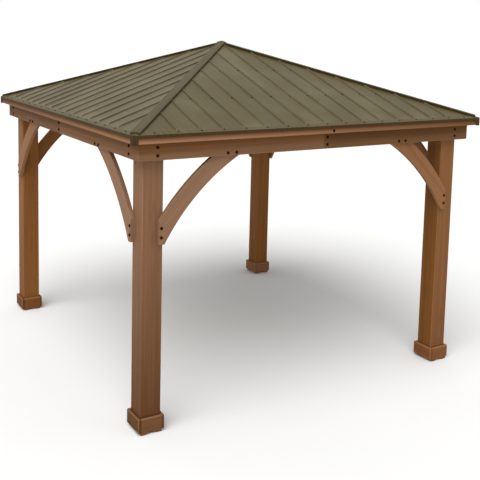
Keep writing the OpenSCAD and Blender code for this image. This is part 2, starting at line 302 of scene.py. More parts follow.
class Piece:
    """One piece: closed lofts are added to it, then put into one mesh that rides on the frame.
    Each point carries its lay, which is its place along, across and through a board, its board's tone, and
    whether it is on an arris that is painted paler, for wear and highlight. On a roof sheet or trim the lay
    is the place along the eave, the distance from the middle and the side, the tone is how far a point is
    turned down, and the edge how far up a rib. Small caps and heads take their own places as their lay."""

    def __init__(self, name):
        self.name = name
        self.lofts = []

    def add(self, rings, lay, smooth, tone=0.0, edge=0.0):
        """Adds one loft. Smooth marks each wall face that is shaded round, and the lids stay flat."""
        rows, cols = rings.shape[:2]
        faces = loft(rings)
        round_face = np.zeros(len(faces), bool)
        round_face[:(rows - 1) * cols] = np.broadcast_to(smooth, (rows - 1, cols)).ravel()
        values = [np.broadcast_to(v, (rows, cols)).ravel() for v in (tone, edge)]
        lay = np.broadcast_to(lay, rings.shape).reshape(-1, 3)
        self.lofts.append((rings.reshape(-1, 3), faces, round_face, lay, *values))

    def build(self, finish, slot, *nodes, fold=None):
        """Puts the lofts into one mesh. A fold is the angle from which a smooth edge is shaded sharp."""
        points, faces, smooth, lay, tone, edge = zip(*self.lofts)
        starts = np.cumsum([0] + [len(p) for p in points[:-1]])
        faces = np.concatenate([f + s for f, s in zip(faces, starts)]).astype(np.int32)
        points, smooth, lay, tone, edge = (np.concatenate(v) for v in (points, smooth, lay, tone, edge))
        mesh = bpy.data.meshes.new(self.name)
        mesh.vertices.add(len(points))
        mesh.loops.add(faces.size)
        mesh.polygons.add(len(faces))
        mesh.vertices.foreach_set("co", points.astype(np.float32).ravel())
        mesh.loops.foreach_set("vertex_index", faces.ravel())
        mesh.polygons.foreach_set("loop_start", np.arange(0, faces.size, 4, dtype=np.int32))
        mesh.polygons.foreach_set("use_smooth", smooth)
        mesh.update(calc_edges=True)
        mesh.attributes.new("lay", "FLOAT_VECTOR", "POINT").data.foreach_set(
            "vector", lay.astype(np.float32).ravel())
        for name, values in (("tone", tone), ("edge", edge)):
            mesh.attributes.new(name, "FLOAT", "POINT").data.foreach_set("value", values.astype(np.float32))
        if fold:
            mesh.set_sharp_from_angle(angle=math.radians(fold))
        mesh.materials.append(finish)
        piece = bpy.data.objects.new(self.name, mesh)
        bpy.context.scene.collection.objects.link(piece)
        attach(piece, "root")
        if nodes:
            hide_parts(*nodes)


def board_place(pith=BOARD_PITH):
    """A board's own place in the tree, as an offset of its lay: a length along the grain and two distances
    from the pith. Of the numbers drawn for it the last is spare, so the next board's stay the same."""
    return draw.uniform(-1, 1, DRAWS_PER_BOARD)[:3] * [GRAIN_APART, pith, pith]


def add_board(piece, start, end, across, width, thick, ease, tone, pith=BOARD_PITH, turns=0):
    """A straight board: its eased section is carried from start to end, and at both ends it shrinks along
    the last part of a quarter circle, so that the end arrises are rounded too. The arrises of the cut ends
    are not painted paler."""
    start, end, across = (np.asarray(v, float) for v in (start, end, across))
    length = np.linalg.norm(end - start)
    along = (end - start) / length
    through = np.cross(along, across)
    centre, normal, on_arc = eased_outline(box_corners(width, thick), ease)
    tilt = np.radians(np.linspace(END_TILT, 90, END_STEPS))
    ahead = ease * (np.cos(tilt[0]) - np.cos(tilt))
    s = np.concatenate([ahead, length - ahead[::-1]])[:, None]
    reach = ease * np.concatenate([np.sin(tilt), np.sin(tilt)[::-1]])
    section = centre + reach[:, None, None] * normal
    a, b = section[..., 0], section[..., 1]
    rings = start + s[..., None] * along + a[..., None] * across + b[..., None] * through
    lay = points_of(s - length / 2, a, b) + board_place(pith)
    step = np.arange(END_STEPS)
    from_end = np.concatenate([step, step[::-1]])[:, None]
    edge = (on_arris(normal) | (from_end < END_STEPS - 1)) & (from_end > 0)
    end_strip = np.arange(len(reach) - 1) != END_STEPS - 1
    piece.add(quarter_turn(rings, turns), lay, on_arc[None, :] | end_strip[:, None], tone, edge)


# Wooden pieces

def build_post(corner, finish):
    """An upright board of square section. Its two outer faces have one tone and its two inner faces, whose
    normals point to the middle of the gazebo, another, mostly deeper: painted shade inside the gazebo."""
    x, y = np.array(CORNERS[corner]) * post_mid
    outer, inner = POST_TONES[corner]
    normal = eased_outline(box_corners(post_width, post_width), POST_EASE)[1]
    inward = (-normal * CORNERS[corner]).max(axis=1).clip(0, 1)
    post = Piece("stained_post_" + corner)
    add_board(post, (x, y, 0), (x, y, frame_top), X, post_width, post_width, POST_EASE,
              outer + (inner - outer) * inward, pith=POST_PITH)
    post.build(finish, "post_wood", "post_" + corner)


def add_arched_board(piece, x, y, facing, tone):
    """A plinth board on two feet: its eased section is carried from side to side, and its lower edge
    follows a circle over the arch's width, so each section is squeezed upwards by the arch's height."""
    width = post_width - 2 * PLINTH_GAP
    radius = (ARCH_WIDTH ** 2 / 4 + ARCH_HEIGHT ** 2) / (2 * ARCH_HEIGHT)
    centre, normal, on_arc = eased_outline(box_corners(plinth_top, plinth_thick), PLINTH_EASE)
    section = centre + PLINTH_EASE * normal
    u = np.linspace(-width / 2, width / 2, ARCH_STATIONS)[:, None]
    in_arch = np.sqrt(np.maximum(radius ** 2 - u ** 2, 0)) - radius + ARCH_HEIGHT
    low = np.where(np.abs(u) < ARCH_WIDTH / 2, in_arch, 0)
    height = section[:, 0] + plinth_top / 2
    z = low + height * (plinth_top - low) / plinth_top
    through = section[:, 1]
    rings = points_of(x + u, y + facing * (post_width / 2 + plinth_thick / 2 + through), z)
    lay = points_of(u, z, through) + board_place()
    piece.add(rings, lay, on_arc[None, :], tone, on_arris(normal))


def build_plinth(corner, finish):
    """Four boards round the foot of a post: two straight ones, two on feet."""
    x, y = np.array(CORNERS[corner]) * post_mid
    straight_tone, arched_tone = PLINTH_TONES[corner]
    plinth = Piece("stained_plinth_" + corner)
    height = plinth_top - PLINTH_LIFT
    for side in (-1, 1):
        face = x + side * (post_width + plinth_thick) / 2
        middle = PLINTH_LIFT + height / 2
        add_board(plinth, (face, y - plinth_half, middle), (face, y + plinth_half, middle), Z,
                  height, plinth_thick, PLINTH_EASE, straight_tone)
        add_arched_board(plinth, x, y, side, arched_tone)
    plinth.build(finish, "post_wood", "plinth_" + corner)


def add_beam_board(piece, side, u0, u1, d, height, tone):
    """A board on edge along one side, with its top at the frame's top."""
    z = frame_top - height / 2
    add_board(piece, (u0, d, z), (u1, d, z), Z, height, board_thick, BEAM_EASE, tone, turns=SIDES[side])


def build_outer_beam(side, finish):
    """Two boards that meet just off the middle. Those of the front and back run to the corners."""
    beam = Piece("stained_outer_beam_" + side)
    half = outer_out if side in THROUGH_SIDES else outer_in
    joint = JOINT_HAND[side] * SPLICE_OFFSET
    height = frame_top - beam_bottom
    spans = ((-half, joint - SPLICE_GAP / 2), (joint + SPLICE_GAP / 2, half))
    # Painted light that falls off: the board further from the front left corner has the darker tone
    for (u0, u1), tone in zip(spans, BEAM_TONES[side]):
        add_beam_board(beam, side, u0, u1, (outer_in + outer_out) / 2, height, tone)
    beam.build(finish, "beam_wood", "outer_beam_" + side)


def build_inner_beam(side, finish):
    """One board behind the outer beam, in the layer of the braces."""
    beam = Piece("stained_inner_beam_" + side)
    half = outer_in if side in THROUGH_SIDES else post_out
    add_beam_board(beam, side, -half, half, (post_out + outer_in) / 2, frame_top - inner_bottom,
                   BEAM_TONES[side][0])
    beam.build(finish, "beam_wood", "inner_beam_" + side)


def build_brace(side, end, hand, finish):
    """A curved board. Its eased section lies across the radius; each point of it runs down its own circle
    from the level of the inner beam to the upright cut at the post or the level cut at the foot. The grain
    runs straight, along the chord."""
    foot = np.array([post_in + BRACE_LAP - BRACE_FOOT, brace_bottom])
    head = np.array([post_in - BRACE_REACH, beam_bottom])
    chord = np.linalg.norm(head - foot)
    along = (head - foot) / chord
    square = np.array([-along[1], along[0]])
    hub = (foot + head) / 2 + square * math.sqrt(BRACE_RADIUS ** 2 - chord ** 2 / 4)
    cut = post_in + BRACE_LAP - hub[0]
    drop = brace_bottom - hub[1]
    mid_radius = BRACE_RADIUS + BRACE_WIDTH / 2
    heel = math.hypot(cut, drop) - mid_radius
    a, b = BRACE_WIDTH / 2, board_thick / 2
    corners = [(a, b), (heel, b), (-a, b), (-a, -b), (heel, -b), (a, -b)]
    centre, normal, on_arc = eased_outline(corners, BRACE_EASE)
    section = centre + BRACE_EASE * normal
    radius = mid_radius + section[:, 0]
    top = np.arcsin((inner_bottom - hub[1]) / radius)
    low = np.maximum(np.arccos(np.minimum(cut / radius, 1)), np.arcsin(drop / radius))
    angle = top + np.linspace(0, 1, BRACE_STATIONS)[:, None] * (low - top)
    place = hub + radius[:, None] * points_of(np.cos(angle), np.sin(angle))
    through = section[:, 1]
    rings = points_of(hand * place[..., 0], (post_out + outer_in) / 2 + through, place[..., 1])
    lay = points_of((place - foot) @ along, (place - foot) @ square, through) + board_place()
    tone = BRACE_TONES.get(f"{side}_{end}", OTHER_BRACE_TONE)
    brace = Piece(f"stained_brace_{side}_{end}")
    brace.add(quarter_turn(rings, SIDES[side]), lay, on_arc[None, :], tone, on_arris(normal))
    brace.build(finish, "beam_wood", f"brace_{side}_{end}")


def build_fascia(side, finish):
    """The board along an eave: its eased section, with a top that follows the slope, is carried from
    mitre to mitre, so a point at distance d runs from -d to d. Its tone changes from end to end: painted
    light that falls off, darker away from the front left corner."""
    corners = [(fascia_in, fascia_low[2]), (fascia_out, fascia_low[2]),
               (fascia_out, deck(fascia_out)), (fascia_in, deck(fascia_in))]
    centre, normal, on_arc = eased_outline(corners, FASCIA_EASE)
    d, z = (centre + FASCIA_EASE * normal).T
    share = np.array([-1.0, 1.0])[:, None]
    rings = points_of(share * d, d, z)
    lay = points_of(share * d, z - fascia_low[2], d - fascia_in) + board_place()
    tone = np.array(FASCIA_TONES[side])[:, None]
    fascia = Piece("stained_fascia_" + side)
    fascia.add(quarter_turn(rings, SIDES[side]), lay, on_arc[None, :], tone, on_arris(normal))
    fascia.build(finish, "fascia_wood", "fascia_" + side)


# Roof covering

def smooth_step(t):
    """The cubic 3t^2 - 2t^3, held at 0 and 1 outside that span."""
    t = np.clip(t, 0, 1)
    return t * t * (3 - 2 * t)


def build_roof_sheet(side, finish):
    """A triangle of sheet: a column at u runs up the slope from the eave to the hip, where the distance
    from the middle is |u|. Over each rib the sheet rises by the rib's height times smooth steps across its
    flanks and along its two tapered ends."""
    ribs = RIB_PITCH * np.arange(-RIB_COUNT, RIB_COUNT + 1)
    across = np.linspace(-RIB_WIDTH / 2, RIB_WIDTH / 2, RIB_COLUMNS)
    panel = RIB_WIDTH / 2 + (RIB_PITCH - RIB_WIDTH) * np.linspace(0, 1, PANEL_COLUMNS + 2)[1:-1]
    last = ribs[-1] + RIB_WIDTH / 2
    margin = np.linspace(last, sheet_out - RIB_CLEAR, PANEL_COLUMNS + 2)[1:]
    u = np.concatenate([-margin[::-1], (ribs[:, None] + across).ravel(),
                        (ribs[:-1, None] + panel).ravel(), margin])
    u = np.sort(u)
    nearest = np.clip(np.round(u / RIB_PITCH), -RIB_COUNT, RIB_COUNT) * RIB_PITCH
    rib_low = trim_start - RIB_CLEAR
    rib_high = np.abs(nearest) + hip_edge - RIB_TAPER - RIB_WIDTH / 2
    steps = np.linspace(0, 1, TAPER_ROWS)
    from_eave = np.concatenate([[0], sheet_out - rib_low + RIB_TAPER * steps])
    from_hip = np.concatenate([[0], hip_edge - (RIB_TAPER + RIB_WIDTH) * (1 - steps)])[::-1]
    room = sheet_out - np.abs(u)
    squeeze = np.minimum(1, room / (from_eave[-1] + from_hip[0] + RIB_TAPER))
    low_rows = sheet_out - from_eave[:, None] * squeeze
    high_rows = np.abs(u) + from_hip[:, None] * squeeze
    between = np.linspace(0, 1, SLOPE_ROWS)[1:-1, None]
    d = np.concatenate([low_rows, low_rows[-1] + between * (high_rows[0] - low_rows[-1]), high_rows])
    flank = smooth_step((RIB_WIDTH / 2 - np.abs(u - nearest)) / (RIB_WIDTH / 2 - RIB_TOP / 2))
    ends = smooth_step((rib_low - d) / RIB_TAPER) * smooth_step((d - rib_high) / RIB_TAPER)
    rise = RIB_HEIGHT * flank * ends
    top = points_of(u, d, layer(d, SHEET)) + rise[..., None] * slope_normal
    rings = np.concatenate([top, (top - SHEET_SKIN * slope_normal)[:, ::-1]], axis=1)
    lay = points_of(u, d, SIDES[side])
    lay = np.concatenate([lay, lay[:, ::-1]], axis=1)
    crest = np.concatenate([rise, rise[:, ::-1]], axis=1) / RIB_HEIGHT
    sheet = Piece("painted_sheet_" + side)
    sheet.add(quarter_turn(rings, SIDES[side]), lay, True, 0.0, crest)
    sheet.build(finish, "roof_metal", "roof_sheet_" + side, fold=SHEET_FOLD)


def build_eave_trim(side, finish):
    """A folded strip: a flange on the sheet, a round bend and a leg in front of the fascia. A point of the
    flange at distance d runs as far as the hip cap, one of the leg as far as the corner piece."""
    leg_low = layer(eave, trim_top) - TRIM_DROP
    turn = np.radians(np.linspace(90 - math.degrees(pitch), 0, ARC_STEPS + 1))
    bend_d = eave - TRIM_BEND + TRIM_BEND * np.cos(turn)
    bend_z = layer(eave, trim_top) - TRIM_BEND + TRIM_BEND * np.sin(turn)
    start = np.array([[trim_start, layer(trim_start, trim_top)]])
    profile = np.vstack([start, points_of(bend_d, bend_z), [eave, leg_low]])
    d, z = folded_strip(profile, TRIM).T
    turned = np.r_[0, np.linspace(0, 1, ARC_STEPS + 1), 1]
    on_leg = np.concatenate([turned, turned[::-1]])
    half = np.where(on_leg > BEND_MIDDLE, eave - CORNER_LEG, d - hip_edge)
    share = np.linspace(-1, 1, TRIM_STATIONS)[:, None]
    rings = points_of(share * half, d, z)
    lay = points_of(share * half, d, SIDES[side])
    trim = Piece("painted_eave_trim_" + side)
    trim.add(quarter_turn(rings, SIDES[side]), lay, True, on_leg)
    trim.build(finish, "trim_metal", "eave_trim_" + side, fold=TRIM_FOLD)


def build_hip_cap(corner, finish):
    """A strip with a round back: its section is a circle's arc between two turned down edges that sink a
    little into the sheets, carried down the hip from the peak cap to the corner piece. The back is pale and
    the edges darken from the fold down with painted shadow, for the gap under the cap."""
    hip_pitch = math.atan(slope / math.sqrt(2))
    fall = HIP_WIDTH / 2 * slope / math.sqrt(2) * math.cos(hip_pitch)
    arch = HIP_RISE + fall - HIP_EDGE
    radius = (HIP_WIDTH ** 2 / 4 + arch ** 2) / (2 * arch)
    q = np.linspace(-HIP_WIDTH / 2, HIP_WIDTH / 2, HIP_STEPS + 1)
    n = HIP_RISE - radius + np.sqrt(radius ** 2 - q ** 2)
    q = np.r_[-HIP_WIDTH / 2, -HIP_WIDTH / 2, q, HIP_WIDTH / 2, HIP_WIDTH / 2]
    n = np.r_[-fall, n[0] - HIP_FOLD, n, n[-1] - HIP_FOLD, -fall]
    base = -np.abs(q) * fall / (HIP_WIDTH / 2) - HIP_SINK
    ring = np.vstack([points_of(q, n), points_of(q, base)[::-1]])
    edge_shade = HIP_EDGE_SHADE[corner]
    # Painted shadow on the turned down edges
    dark = np.r_[1, edge_shade, np.zeros(HIP_STEPS + 1), edge_shade, 1, np.ones(len(q))]
    peak_half = ends_of("peak_cap")[1][0]
    plan_low = (sheet_out - hip_edge / 2) * math.sqrt(2)
    plan = np.linspace(peak_half, plan_low - HIP_RISE * math.sin(hip_pitch), HIP_STATIONS)
    run = plan / math.cos(hip_pitch)
    sx, sy = CORNERS[corner]
    level = np.array([sx, sy, 0]) / math.sqrt(2)
    down = level * math.cos(hip_pitch) - Z * math.sin(hip_pitch)
    up = level * math.sin(hip_pitch) + Z * math.cos(hip_pitch)
    side = np.cross(up, down)
    rings = layer(0, SHEET) * Z + run[:, None, None] * down + ring[:, :1] * side + ring[:, 1:] * up
    lay = points_of(ring[:, 0], run[:, None], sx + 2 * sy)
    cap = Piece("painted_hip_cap_" + corner)
    cap.add(rings, lay, True, dark)
    cap.build(finish, "roof_metal", "hip_cap_" + corner, fold=TRIM_FOLD)


def build_peak_cap(finish):
    """A small square cap: eased squares stacked from the skirt's foot to the tip, where a square of half
    width w lies as high as the roof's slope at w."""
    half, _, tip = ends_of("peak_cap")[1]
    lift = tip - slope * half
    foot = layer(half, SHEET)
    skirt = foot + PEAK_SKIRT * (lift - foot)
    width = np.array([half, half, half - TRIM_BEND / 2, half - TRIM_BEND, half / 2, PEAK_TIP])
    height = np.array([foot, skirt, lift - TRIM_BEND / 2, lift, tip - slope * half / 2,
                       tip - slope * PEAK_TIP])
    centre, normal, on_arc = eased_outline(box_corners(2, 2), PEAK_EASE)
    x, y = (centre + PEAK_EASE * normal).T
    rings = points_of(width[:, None] * x, width[:, None] * y, height[:, None])
    cap = Piece("painted_peak_cap")
    cap.add(rings, rings, on_arc[None, :])
    cap.build(finish, "roof_metal", "peak_cap", fold=TRIM_FOLD)


def build_corner_caps(finish):
    """The pieces over the fascia joints: one sheet whose rows rise up the two legs, bend over the eave and
    run up the roof as a plate, and whose columns go from one leg's end round the corner to the other's."""
    low = ends_of("corner_caps")[0][2]
    high = layer(eave, trim_top)
    plate_end = sheet_out - hip_edge
    turn = np.radians(np.linspace(0, 90, ARC_STEPS + 1))
    inset = eave - CORNER_BEND
    arc = inset + CORNER_BEND * points_of(np.sin(turn), np.cos(turn))
    plan = np.vstack([[eave - CORNER_LEG, eave], arc, [eave, eave - CORNER_LEG]])
    share = np.r_[0, np.linspace(*CORNER_TURN, ARC_STEPS + 1), 1][:, None]
    inner = share * [sheet_out, plate_end] + (1 - share) * [plate_end, sheet_out]
    legs = points_of(*plan.T, np.linspace(low, high - TRIM_BEND, CORNER_LEG_ROWS)[:, None])
    up_roof = np.array(CORNER_PLATE_ROWS)[:, None, None]
    over = (1 - up_roof) * plan + up_roof * inner
    plate = points_of(over[..., 0], over[..., 1], layer(over.max(axis=-1), trim_top))
    top = np.concatenate([legs, plate])
    outward = np.array([1, 1, 0]) / math.sqrt(2)
    skin = np.concatenate([np.broadcast_to(outward, legs.shape), np.broadcast_to(Z, plate.shape)])
    rings = np.concatenate([top, (top - TRIM * skin)[:, ::-1]], axis=1)
    on_leg = np.r_[np.ones(CORNER_LEG_ROWS), CORNER_PLATE_SHADE][:, None]
    caps = Piece("painted_corner_caps")
    for turns in SIDES.values():
        caps.add(quarter_turn(rings, turns), quarter_turn(rings, turns), True, on_leg)
    caps.build(finish, "trim_metal", "corner_caps", fold=TRIM_FOLD)


# Bolts and screws

def add_heads(piece, profile, sides, places, axis):
    """Turned heads: a profile of radius and height is carried round an axis at each place, as rings of a
    few sides stacked from the foot up."""
    axis = np.asarray(axis, float)
    first = np.cross(axis, X if abs(axis[0]) < NEARLY_ALONG_X else Y)
    first /= np.linalg.norm(first)
    second = np.cross(axis, first)
    turn = np.arange(sides) * 2 * math.pi / sides
    circle = np.cos(turn)[:, None] * first + np.sin(turn)[:, None] * second
    radius, height = np.asarray(profile, float).T
    head = radius[:, None, None] * circle + height[:, None, None] * axis
    for place in places:
        piece.add(head + place, head, np.array([[False], *[[True]] * (len(profile) - 2)]))


def build_bolts(side, finish):
    """Dark bolt heads on a side: pairs over the posts, at the joint, at the braces' heads and feet, and on
    the front and back one let into the fascia near its middle."""
    hand = JOINT_HAND[side]
    upright_pair = (beam_bottom + BOLT_FROM_EDGE, frame_top - BOLT_FROM_EDGE)
    places = [(u, outer_out, z) for u in (-post_mid, post_mid, hand * SPLICE_BOLT) for z in upright_pair]
    for end in (-1, 1):
        level = beam_bottom + BRACE_BOLT_RISE
        places += [(end * (BRACE_BOLT_MIDDLE + way * BRACE_BOLT_PITCH / 2), outer_out, level)
                   for way in (-1, 1)]
        places += [(end * (post_in + BRACE_LAP - FOOT_BOLT_INSET), outer_in, brace_bottom + up)
                   for up in FOOT_BOLTS_UP]
    if side in THROUGH_SIDES:
        level = (fascia_low[2] + layer(eave, trim_top) - TRIM_DROP) / 2
        places.append((hand * FASCIA_BOLT, fascia_out - FASCIA_BOLT_SUNK, level))
    bolts = Piece("bolt_heads_" + side)
    outward = quarter_turn(Y, SIDES[side])
    add_heads(bolts, BOLT_PROFILE, BOLT_SIDES, quarter_turn(places, SIDES[side]), outward)
    bolts.build(finish, "trim_metal")


def build_screws(side, finish):
    """Painted roofing screws: on the eave flange one below each rib and one past each end, and on the
    slope rows close beside the ribs."""
    lines = RIB_PITCH * np.arange(-RIB_COUNT - 1, RIB_COUNT + 2)
    d = eave - SCREW_FROM_EAVE
    rows = [points_of(lines, d, layer(d, trim_top))]
    for d in SCREW_ROWS:
        ribs = lines[np.abs(lines) < d - hip_edge - SCREW_FROM_HIP]
        rows.append(points_of(ribs + SCREW_BESIDE_RIB, d, layer(d, SHEET)))
    screws = Piece("roof_screws_" + side)
    add_heads(screws, SCREW_PROFILE, SCREW_SIDES, quarter_turn(np.concatenate(rows), SIDES[side]),
              quarter_turn(slope_normal, SIDES[side]))
    screws.build(finish, "roof_metal")


# Finishes

NOISE_MEAN = 0.5
NOISE_ROUGHNESS = 0.5
SOFT_DETAIL = 1.0
MID_DETAIL = 2.0
FINE_DETAIL = 3.0


class Wire:
    """A socket of a material's nodes. Arithmetic on it adds Math nodes."""

    def __init__(self, finish, socket):
        self.finish = finish
        self.socket = socket

    def math(self, operation, *values):
        return self.finish.node("ShaderNodeMath", {"operation": operation}, dict(enumerate(values)))

    def __add__(self, other):
        return self.math("ADD", self, other)

    def __sub__(self, other):
        return self.math("SUBTRACT", self, other)

    def __rsub__(self, other):
        return self.math("SUBTRACT", other, self)

    def __mul__(self, other):
        return self.math("MULTIPLY", self, other)

    def __truediv__(self, other):
        return self.math("DIVIDE", self, other)

    def __pow__(self, other):
        return self.math("POWER", self, other)

    def __abs__(self):
        return self.math("ABSOLUTE", self)

    __radd__ = __add__
    __rmul__ = __mul__

    def floor(self):
        return self.math("FLOOR", self)

    def fraction(self):
        return self.math("FRACT", self)

    def root(self):
        return self.math("SQRT", self)

    def least(self, other):
        return self.math("MINIMUM", self, other)

    def most(self, other):
        return self.math("MAXIMUM", self, other)

    def between(self, low, high):
        """0 below low, 1 above high, with a smooth rise from one to the other."""
        return self.finish.node("ShaderNodeMapRange", {"interpolation_type": "SMOOTHSTEP"},
                                {"Value": self, "From Min": low, "From Max": high})


class Finish:
    """The nodes of a material or of the sky."""

    def __init__(self, owner):
        owner.use_nodes = True
        self.owner = owner
        self.tree = owner.node_tree
        self.tree.nodes.clear()

    def node(self, kind, settings=None, inputs=None, output=0):
        """Adds a node, sets it up, gives its inputs values or links, and returns one of its outputs."""
        node = self.tree.nodes.new(kind)
        for key, value in (settings or {}).items():
            setattr(node, key, value)
        for key, value in (inputs or {}).items():
            if isinstance(value, Wire):
                self.tree.links.new(value.socket, node.inputs[key])
            else:
                node.inputs[key].default_value = value
        return Wire(self, node.outputs[output]) if node.outputs else None

    def value(self, name):
        """A number that the piece's own mesh carries."""
        return self.node("ShaderNodeAttribute", {"attribute_name": name}, output="Fac")

    def parts(self, vector):
        """The three numbers of a vector."""
        split = self.node("ShaderNodeSeparateXYZ", {}, {0: vector}).socket.node
        return [Wire(self, part) for part in split.outputs]

    def lay(self):
        """Place along, across and through the board or sheet."""
        return self.parts(self.node("ShaderNodeAttribute", {"attribute_name": "lay"}, output="Vector"))

    def place(self):
        """Place in the gazebo's own frame."""
        return self.parts(self.node("ShaderNodeTexCoord", output="Object"))

    def noise(self, place, scale, detail, roughness=NOISE_ROUGHNESS):
        """Smooth noise over a place of three numbers, each of them times its own scale."""
        vector = self.node("ShaderNodeCombineXYZ", {}, {i: place[i] * scale[i] for i in range(3)})
        return self.node("ShaderNodeTexNoise", {}, {"Vector": vector, "Scale": 1.0, "Detail": detail,
                                                    "Roughness": roughness})

    def mix(self, share, first, second, blend="MIX"):
        """One colour over another by a share."""
        return self.node("ShaderNodeMix", {"data_type": "RGBA", "blend_type": blend},
                         {0: share, 6: first, 7: second}, output=2)

    def toned(self, colour, value, saturation=1.0):
        """A colour with its brightness and its depth scaled."""
        return self.node("ShaderNodeHueSaturation", {}, {"Value": value, "Saturation": saturation,
                                                         "Color": colour})

    def surface(self, colour, roughness, height, depth, specular):
        """Ends the material: a principled surface with a bump of the given depth in metres."""
        normal = self.node("ShaderNodeBump", {}, {"Height": height, "Distance": depth, "Strength": 1.0})
        shader = self.node("ShaderNodeBsdfPrincipled", {},
                           {"Base Color": colour, "Roughness": roughness, "Normal": normal,
                            "Specular IOR Level": specular})
        self.node("ShaderNodeOutputMaterial", {}, {"Surface": shader})
        return self.owner


# The display curve: straight up to its toe, and above it a shifted power
TOE = 0.04045
TOE_SLOPE = 12.92
CURVE_SHIFT = 0.055
CURVE_POWER = 2.4


def rgb(code):
    """A colour from its hexadecimal display code, as linear light by the display curve."""
    values = np.array(list(bytes.fromhex(code))) / 255
    curved = ((values + CURVE_SHIFT) / (1 + CURVE_SHIFT)) ** CURVE_POWER
    return (*np.where(values <= TOE, values / TOE_SLOPE, curved), 1.0)


# Stained wood. Scales of the grain are along, across and through a board, per metre.
WANDER_SCALE = (1.5, 3, 3)
WANDER_ACROSS = 0.09
WANDER_THROUGH = 0.05
BROAD_SCALE = (0.8, 11, 11)
BROAD_LIGHT = 0.30
STREAK_SCALE = (0.55, 42, 42)
STREAK_MEAN = 0.32
STREAK_DARK = 0.70
FIBRE_SCALE = (7, 330, 330)
FIBRE_ROUGHNESS = 0.65
FIBRE_DARK = 0.34
RINGS_PER_METRE = 150
RING_WAVER = 1.6
LATE_WOOD_RISE = 3
LATE_WOOD_END = (0.93, 1.0)
LATE_WOOD_DARK = 0.16
GRAIN_DARK = 0.22
GRAIN_SPAN = (-0.15, 1.15)
DEEPEST_DARK = 0.5
WOOD_SATURATION = 1.06
RICHNESS = 0.12
FOOT_LEVELS = (-0.35, 2.0)
# Tint of the painted shade towards the ground
FOOT_SHADE_TINT = "b2976c"
# Colour of the paler arrises: wear and painted highlight
ARRIS_WEAR_AND_HIGHLIGHT_TINT = "b08d74"
WOOD_GLOSS = {"roughness": 0.54, "fibre": 0.16, "late": 0.10, "specular": 0.10}
WOOD_RELIEF = {"fibre": 0.7, "late": 0.5, "depth": 0.0006}


def stained_wood(name, light, dark, lay=None, foot_shade=0.0, eave_shadow=None, arris_wear_and_highlight=0.10, depth=0.0):
    """Stained cedar: growth rings about the board's own pith, wandering along it, under fine fibres and
    broad streaks of stain. With its tone a board is richer and darker by the finish's depth, and darker
    still past 1. Arrises are paler, partly wear and partly a painted highlight; a greyer board gets painted
    shade towards the ground, and painted shadow of the eaves darkens it between two levels. A CAD node has
    its own lay, and no tone or arrises."""
    finish = Finish(bpy.data.materials.new(name))
    board = lay(finish) if lay else finish.lay()
    wander = finish.noise(board, WANDER_SCALE, SOFT_DETAIL) - NOISE_MEAN
    a = board[1] + wander * WANDER_ACROSS
    b = board[2] + wander * WANDER_THROUGH
    radius = (a * a + b * b).root()
    broad = finish.noise(board, BROAD_SCALE, FINE_DETAIL)
    streak = finish.noise(board, STREAK_SCALE, FINE_DETAIL)
    fibre = finish.noise(board, FIBRE_SCALE, FINE_DETAIL, FIBRE_ROUGHNESS)
    ring = (radius * RINGS_PER_METRE + broad * RING_WAVER).fraction()
    late = ring ** LATE_WOOD_RISE * (1 - ring.between(*LATE_WOOD_END))
    grain = GRAIN_DARK + (streak - STREAK_MEAN) * STREAK_DARK + late * LATE_WOOD_DARK
    grain = grain + (fibre - NOISE_MEAN) * FIBRE_DARK
    colour = finish.mix(grain.between(*GRAIN_SPAN), rgb(light), rgb(dark))
    value = 1 + (broad - NOISE_MEAN) * BROAD_LIGHT
    if lay:
        colour = finish.toned(colour, value, WOOD_SATURATION)
    else:
        tone = finish.value("tone")
        value = value - tone * depth - (tone - 1).most(0) * DEEPEST_DARK
        colour = finish.toned(colour, value, WOOD_SATURATION + tone.least(1) * RICHNESS)
        # Arrises painted paler: partly wear, partly painted highlight
        colour = finish.mix(finish.value("edge") * arris_wear_and_highlight, colour, rgb(ARRIS_WEAR_AND_HIGHLIGHT_TINT))
    height = finish.place()[2]
    # Painted shade towards the ground, strongest on boards of low tone
    if foot_shade:
        share = (1 - tone) / 2 * (1 - height.between(*FOOT_LEVELS)) * foot_shade
        colour = finish.mix(share, colour, rgb(FOOT_SHADE_TINT), "MULTIPLY")
    # Painted shadow of the eaves: a tint multiplied in between two levels
    if eave_shadow:
        low, high, shadow_tint = eave_shadow
        colour = finish.mix(height.between(low, high), colour, rgb(shadow_tint), "MULTIPLY")
    roughness = WOOD_GLOSS["roughness"] + fibre * WOOD_GLOSS["fibre"] + late * WOOD_GLOSS["late"]
    relief = fibre * WOOD_RELIEF["fibre"] + late * WOOD_RELIEF["late"]
    return finish.surface(colour, roughness, relief, WOOD_RELIEF["depth"], WOOD_GLOSS["specular"])


# Lay of the wood on CAD nodes, which lie along the slopes, the sides and the hips
DIAGONAL = 0.7071
BOARDS_APART = 3
BLOCK_PITH = (0.02, 0.03)


def lay_along_hips(finish):
    """Lay of the four hip rafters: along the diagonal of the quarter, across it, and up."""
    x, y, z = finish.place()
    out = abs(x) + abs(y)
    return out * DIAGONAL, (abs(x) - abs(y)) * DIAGONAL, z + out * (slope / 2)


def lay_along_slopes(finish):
    """Lay of the four centre rafters: out from the middle, across, and up."""
    x, y, z = finish.place()
    out = abs(x).most(abs(y))
    return out + (x + y).floor() * BOARDS_APART, abs(x).least(abs(y)), z + out * slope


def lay_along_sides(finish):
    """Lay of the purlins: along their side, up the slope, and through."""
    x, y, z = finish.place()
    out = abs(x).most(abs(y))
    return abs(x).least(abs(y)) + (x + y).floor() * BOARDS_APART, out, z + out * slope


def lay_upright(finish):
    """Lay of an upright block, with its pith a little aside."""
    x, y, z = finish.place()
    return z, x + BLOCK_PITH[0], y + BLOCK_PITH[1]


